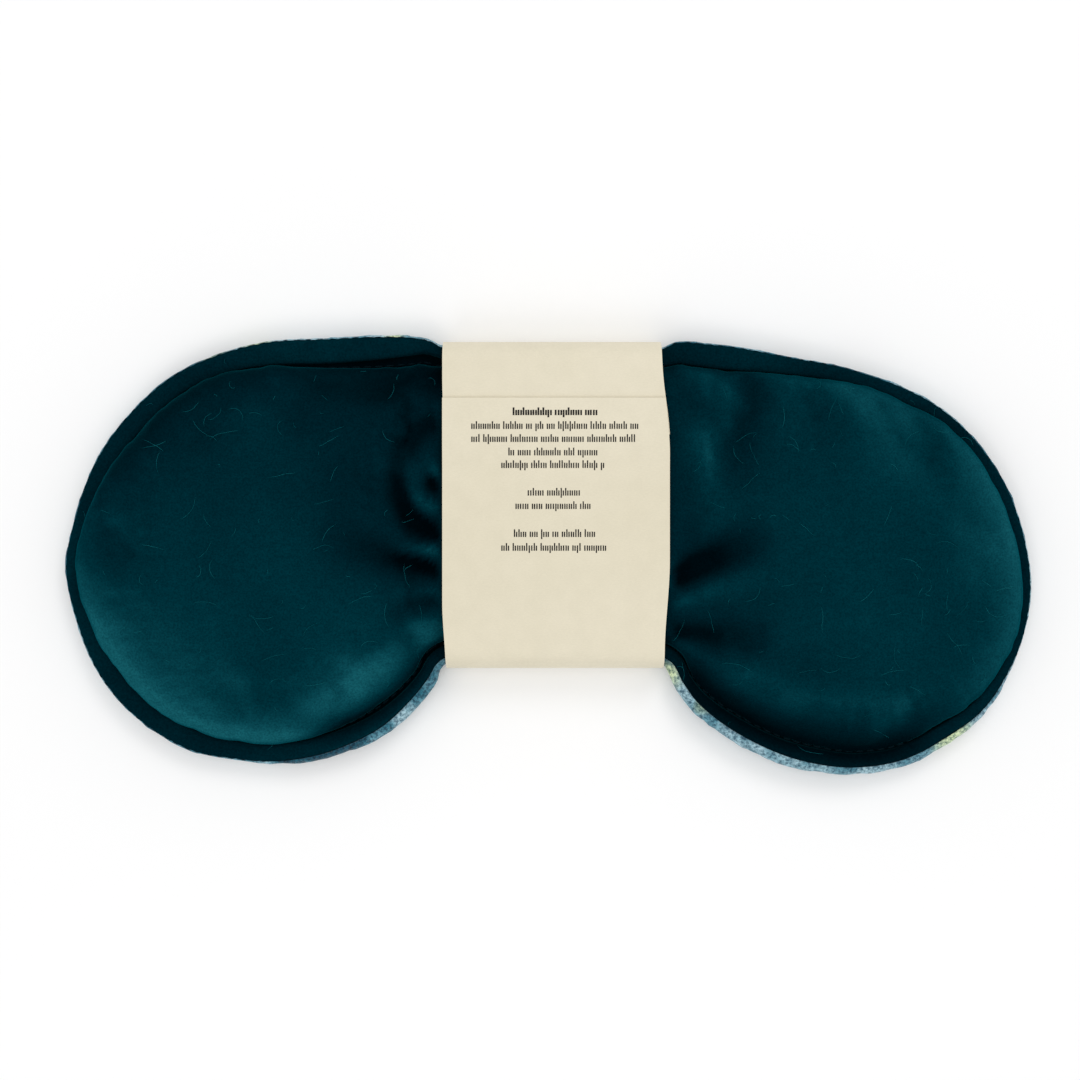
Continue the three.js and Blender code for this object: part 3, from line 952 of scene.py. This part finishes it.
def glue_piece(material):
    """A flat, slightly uneven bead of glue between the layers of the lap."""
    low_x, high_x = band_low[0] + 4.5, band_high[0] - 4.5
    y, half_width = (LAP_UNDER_Y + LAP_OVER_Y) / 2, 2.6
    z = CARD_TOP + CARD / 2 + 0.1
    xs = np.linspace(low_x, high_x, 40)
    sides = 12
    turn = np.arange(sides) / sides * 2 * math.pi
    wide = half_width + 0.4 * noise(flat_place(xs, xs * 0), 5, 15)
    wide[0] = wide[-1] = 1.0
    rings = np.zeros((len(xs), sides, 3))
    rings[..., 0] = xs[:, None]
    rings[..., 1] = y + wide[:, None] * np.cos(turn)[None]
    rings[..., 2] = z + 0.08 * np.sin(turn)[None]
    faces = grid_faces(len(xs), sides, wrap=True)
    faces.append(tuple(range(sides))[::-1])
    faces.append(tuple((len(xs) - 1) * sides + i for i in range(sides)))
    obj = make_mesh("glue_bead", rings.reshape(-1, 3), faces, material)
    with editing(obj.data) as bm:
        bmesh.ops.recalc_face_normals(bm, faces=bm.faces)
    return obj


# ---- materials --------------------------------------------

class Nodes:
    """A material's node tree with short ways to add to it."""

    def __init__(self, name):
        self.material = bpy.data.materials.new(name)
        self.material.use_nodes = True
        self.tree = self.material.node_tree
        self.shader = self.tree.nodes["Principled BSDF"]
        self.place = self.add("ShaderNodeTexCoord").outputs["Object"]

    def add(self, kind, **settings):
        node = self.tree.nodes.new(kind)
        for key, value in settings.items():
            setattr(node, key, value)
        return node

    def link(self, a, b):
        self.tree.links.new(a, b)

    def colour(self, value):
        self.link(value, self.shader.inputs["Base Color"])

    def roughness(self, value, low, high):
        """Roughness from low to high as the value goes from 0 to 1."""
        node = self.add("ShaderNodeMapRange")
        node.inputs["To Min"].default_value = low
        node.inputs["To Max"].default_value = high
        self.link(value, node.inputs["Value"])
        self.link(node.outputs[0], self.shader.inputs["Roughness"])

    def noise(self, size, detail=2.0, rough=0.5, stretch=None):
        """Noise whose features are about `size` millimetres across."""
        node = self.add("ShaderNodeTexNoise")
        node.inputs["Scale"].default_value = 1 / (size * MM)
        node.inputs["Detail"].default_value = detail
        node.inputs["Roughness"].default_value = rough
        if stretch:
            mapping = self.add("ShaderNodeMapping")
            mapping.inputs["Scale"].default_value = stretch
            self.link(self.place, mapping.inputs["Vector"])
            self.link(mapping.outputs[0], node.inputs["Vector"])
        else:
            self.link(self.place, node.inputs["Vector"])
        return node.outputs["Fac"]

    def ramp(self, value, stops):
        """Colours between (position, colour) stops."""
        node = self.add("ShaderNodeValToRGB")
        elements = node.color_ramp.elements
        while len(elements) < len(stops):
            elements.new(0.5)
        for element, (position, colour) in zip(elements, stops):
            element.position = position
            element.color = (*colour, 1)
        self.link(value, node.inputs["Fac"])
        return node.outputs["Color"]

    def mix(self, factor, a, b, mode="MIX"):
        """A mix of two values or sockets by a third."""
        node = self.add("ShaderNodeMix", data_type="RGBA", blend_type=mode)
        for socket, value in ((node.inputs[0], factor), (node.inputs[6], a), (node.inputs[7], b)):
            if isinstance(value, bpy.types.NodeSocket):
                self.link(value, socket)
            elif isinstance(value, tuple):
                socket.default_value = (*value, 1)
            else:
                socket.default_value = value
        return node.outputs[2]

    def product(self, a, b):
        return self.mix(1.0, a, b, "MULTIPLY")

    def bump(self, layers):
        """Layers of (height, strength, depth in millimetres), one over another."""
        normal = None
        for height, strength, depth in layers:
            node = self.add("ShaderNodeBump")
            node.inputs["Strength"].default_value = strength
            node.inputs["Distance"].default_value = depth * MM
            self.link(height, node.inputs["Height"])
            if normal:
                self.link(normal, node.inputs["Normal"])
            normal = node.outputs[0]
        self.link(normal, self.shader.inputs["Normal"])

    def set(self, **values):
        for key, value in values.items():
            self.shader.inputs[key.replace("_", " ")].default_value = value


def velvet_material():
    n = Nodes("velvet")
    clouds = n.noise(26, 3, 0.55)
    pile = n.noise(0.5, 3, 0.7)
    brushed = n.noise(3.2, 3, 0.6, stretch=(1, 1.9, 1))
    # The stored value is mostly painted light and shade; the ramp below turns it into the velvet's
    # colour, almost black where the shade is painted deepest.
    painted_light_and_print = n.add("ShaderNodeAttribute", attribute_name="painted_light_and_print").outputs["Fac"]
    level = n.add("ShaderNodeMath", operation="MULTIPLY_ADD")
    n.link(clouds, level.inputs[0])
    level.inputs[1].default_value = 0.22
    n.link(painted_light_and_print, level.inputs[2])
    base = n.ramp(level.outputs[0], [
        (0.08, (0.0, 0.001, 0.002)), (0.40, (0.0, 0.013, 0.020)), (0.60, (0.0, 0.026, 0.037)),
        (0.85, (0.003, 0.060, 0.079)), (1.0, (0.006, 0.090, 0.113))])
    fleck = n.ramp(pile, [(0.35, (0.62, 0.72, 0.74)), (0.62, (1.25, 1.2, 1.18))])
    tint = n.ramp(brushed, [(0.3, (0.86, 0.9, 0.91)), (0.7, (1.12, 1.08, 1.07))])
    n.colour(n.product(n.product(base, fleck), tint))
    n.roughness(pile, 0.8, 1.0)
    n.set(Specular_IOR_Level=0.0, Sheen_Weight=0.28, Sheen_Roughness=0.35,
          Sheen_Tint=(0.0, 0.33, 0.42, 1))
    n.bump([(brushed, 0.35, 0.5), (pile, 0.4, 0.25)])
    return n.material


def plush_material():
    n = Nodes("printed_plush")
    print_a = n.noise(15, 3, 0.55)
    print_b = n.noise(34, 2, 0.5)
    tuft = n.noise(0.9, 4, 0.7)
    fibre = n.noise(0.4, 2, 0.7)
    ground = n.ramp(print_a, [
        (0.36, (0.006, 0.06, 0.10)), (0.44, (0.02, 0.13, 0.19)), (0.50, (0.09, 0.25, 0.33)),
        (0.60, (0.30, 0.47, 0.55))])
    green = n.ramp(print_b, [(0.66, (0, 0, 0)), (0.69, (1, 1, 1))])
    patch = n.add("ShaderNodeAttribute", attribute_name="painted_light_and_print").outputs["Fac"]
    colour = n.mix(patch, n.mix(green, ground, (0.38, 0.48, 0.30)), (0.55, 0.66, 0.42))
    shade = n.ramp(tuft, [(0.38, (0.22, 0.32, 0.38)), (0.60, (1.5, 1.45, 1.4))])
    n.colour(n.product(colour, shade))
    n.roughness(fibre, 0.75, 1.0)
    n.set(Specular_IOR_Level=0.15, Sheen_Weight=0.45, Sheen_Roughness=0.45,
          Sheen_Tint=(0.7, 0.85, 0.9, 1))
    n.bump([(tuft, 0.8, 1.0), (fibre, 0.5, 0.3)])
    return n.material


def thread_material():
    n = Nodes("sewing_thread")
    ply = n.noise(0.35, 2, 0.6, stretch=(1, 1, 3))
    n.colour(n.ramp(ply, [(0.3, (0.0, 0.003, 0.006)), (0.7, (0.0, 0.010, 0.015))]))
    n.roughness(ply, 0.5, 0.75)
    n.set(Specular_IOR_Level=0.05)
    n.bump([(ply, 0.6, 0.12)])
    return n.material


def grain_material():
    n = Nodes("grain_fill")
    cells = n.add("ShaderNodeTexVoronoi", feature="F1")
    cells.inputs["Scale"].default_value = 1 / (3.2 * MM)
    n.link(n.place, cells.inputs["Vector"])
    speck = n.noise(9, 2, 0.6)
    hue = n.mix(speck, (0.46, 0.33, 0.15), (0.22, 0.12, 0.05))
    husk = n.ramp(cells.outputs["Distance"],
                  [(0.05, (1.15, 1.1, 1.05)), (0.75, (0.45, 0.42, 0.4))])
    n.colour(n.product(hue, husk))
    n.roughness(speck, 0.45, 0.7)
    n.set(Specular_IOR_Level=0.35)
    n.bump([(cells.outputs["Distance"], 0.8, -1.2)])
    return n.material


def card_material():
    n = Nodes("card")
    tone = n.noise(45, 2, 0.5)
    fibre = n.noise(0.7, 4, 0.65, stretch=(1, 2.2, 1))
    mottle = n.noise(5, 3, 0.6)
    base = n.ramp(tone, [(0.3, (0.735, 0.675, 0.52)), (0.7, (0.765, 0.705, 0.555))])
    grain = n.ramp(fibre, [(0.3, (0.955, 0.955, 0.95)), (0.7, (1.02, 1.02, 1.02))])
    cloud = n.ramp(mottle, [(0.35, (0.98, 0.98, 0.975)), (0.65, (1.01, 1.01, 1.01))])
    n.colour(n.product(n.product(base, grain), cloud))
    n.roughness(mottle, 0.55, 0.68)
    n.set(Specular_IOR_Level=0.32)
    n.bump([(fibre, 0.18, 0.06), (mottle, 0.1, 0.1)])
    return n.material


def ink_material():
    n = Nodes("printed_ink")
    patch = n.noise(0.5, 2, 0.6)
    n.colour(n.ramp(patch, [(0.3, (0.003, 0.002, 0.002)), (0.7, (0.010, 0.008, 0.007))]))
    n.roughness(patch, 0.6, 0.8)
    n.set(Specular_IOR_Level=0.25)
    n.bump([(patch, 0.1, 0.02)])
    return n.material


def glue_material():
    n = Nodes("band_glue")
    blob = n.noise(2.5, 2, 0.5)
    n.colour(n.ramp(blob, [(0.3, (0.75, 0.72, 0.62)), (0.7, (0.86, 0.84, 0.76))]))
    n.roughness(blob, 0.25, 0.5)
    n.bump([(blob, 0.3, 0.1)])
    return n.material


def lint_material():
    n = Nodes("lint")
    tone = n.noise(4, 2, 0.5)
    n.colour(n.ramp(tone, [(0.3, (0.0, 0.07, 0.09)), (0.7, (0.012, 0.17, 0.20))]))
    n.roughness(tone, 0.7, 0.9)
    n.set(Specular_IOR_Level=0.0)
    return n.material


def floor_material():
    n = Nodes("floor")
    haze = n.noise(300, 1, 0.4)
    n.colour(n.ramp(haze, [(0.3, (0.965, 0.965, 0.965)), (0.7, (0.98, 0.98, 0.98))]))
    n.set(Roughness=0.9, Specular_IOR_Level=0.1)
    return n.material


# ---- the assembly -----------------------------------------

velvet = velvet_material()
plush = plush_material()
thread = thread_material()
grain = grain_material()
lint = lint_material()


def bend(piece, side, slot_name, *nodes):
    """Hides the frame's parts that the piece stands in for, and bakes the piece's place into its
    mesh.
    """
    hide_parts(*nodes)
    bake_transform(piece)


halves = {side: Half(side) for side in (-1, 1)}
velvet_grids = {side: velvet_rings(half) for side, half in halves.items()}
plush_grids = {side: plush_rings(half) for side, half in halves.items()}
settle([(velvet_grids[side], CREASE_RING) for side in (-1, 1)]
       + [(plush_grids[side], PLUSH_CREASE_RING) for side in (-1, 1)])

LINT_SEED = 31
PRINT_SEED = 7

for side, word in ((-1, "left"), (1, "right")):
    half = halves[side]
    rng = np.random.default_rng(LINT_SEED + side)
    velvet_half = cloth_piece(f"velvet_{word}_half", velvet_grids[side], True, velvet)
    plush_half = cloth_piece(f"plush_{word}_half", plush_grids[side], False, plush)
    fibres = tubes(f"lint_{word}_half", lint_paths(half, velvet_half, rng), 0.032, 4, lint)
    stitches = tubes(f"topstitch_{word}_half", stitch_paths(half, True) + stitch_paths(half, False),
                     0.26, 8, thread)
    seam = tubes(f"edge_seam_{word}_half", [seam_path(half)], 0.2, 6, thread)
    filling = grain_piece(f"grain_{word}_half", half, grain)
    bend(velvet_half, side, "velvet", f"velvet_{word}", "velvet_bridge")
    bend(plush_half, side, "printed_plush", f"plush_{word}", "plush_bridge")
    bend(fibres, side, "velvet")
    bend(stitches, side, "sewing_thread", f"topstitch_{word}", "topstitch_bridge_upper",
         "topstitch_bridge_lower")
    bend(seam, side, "sewing_thread", f"edge_seam_{word}", "edge_seam_bridge_upper",
         "edge_seam_bridge_lower")
    bend(filling, side, "grain_fill", f"grain_{word}", "grain_bridge")

band = card_piece(card_material())
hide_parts("card_band")
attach(band, "belly_band")

marks = print_piece(ink_material(), np.random.default_rng(PRINT_SEED))
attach(marks, "belly_band")

glue = glue_piece(glue_material())
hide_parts("band_glue")
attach(glue, "belly_band")

# ---- floor, light and camera ------------------------------

# In metres, as are the places of the lights and the camera.
FLOOR_HALF = 3.0
FLOOR_Z = -0.0003
CAMERA_PLACE = (-0.0022, 0.0038, 0.455)
CAMERA_LENS = 57.9

floor_mesh = bpy.data.meshes.new("floor")
floor_mesh.from_pydata([(x * FLOOR_HALF, y * FLOOR_HALF, FLOOR_Z)
                        for x, y in ((-1, -1), (1, -1), (1, 1), (-1, 1))], [], [(0, 1, 2, 3)])
floor_mesh.materials.append(floor_material())
floor = add_object("floor", floor_mesh)


def area_light(name, place, size, power):
    """A round soft light aimed at the middle of the table."""
    light = bpy.data.lights.new(name, "AREA")
    light.shape = "DISK"
    light.size = size
    light.energy = power
    obj = add_object(name, light)
    obj.location = place
    obj.rotation_euler = (Vector((0, 0, 0)) - Vector(place)).to_track_quat("-Z", "Y").to_euler()


area_light("overhead", (0, 0, 1.35), 0.9, 2.1)
area_light("far_side", (0.35, 0.85, 1.0), 0.6, 2.45)
area_light("near_side", (-0.35, -0.85, 1.0), 0.6, 1.7)

world = bpy.data.worlds.new("studio")
world.use_nodes = True
background = world.node_tree.nodes["Background"]
background.inputs["Color"].default_value = (1, 1, 1, 1)
background.inputs["Strength"].default_value = 0.775
bpy.context.scene.world = world
bpy.context.scene.view_settings.view_transform = "Standard"

camera_data = bpy.data.cameras.new("camera")
camera_data.lens = CAMERA_LENS
camera = add_object("camera", camera_data)
camera.location = CAMERA_PLACE
bpy.context.scene.camera = camera
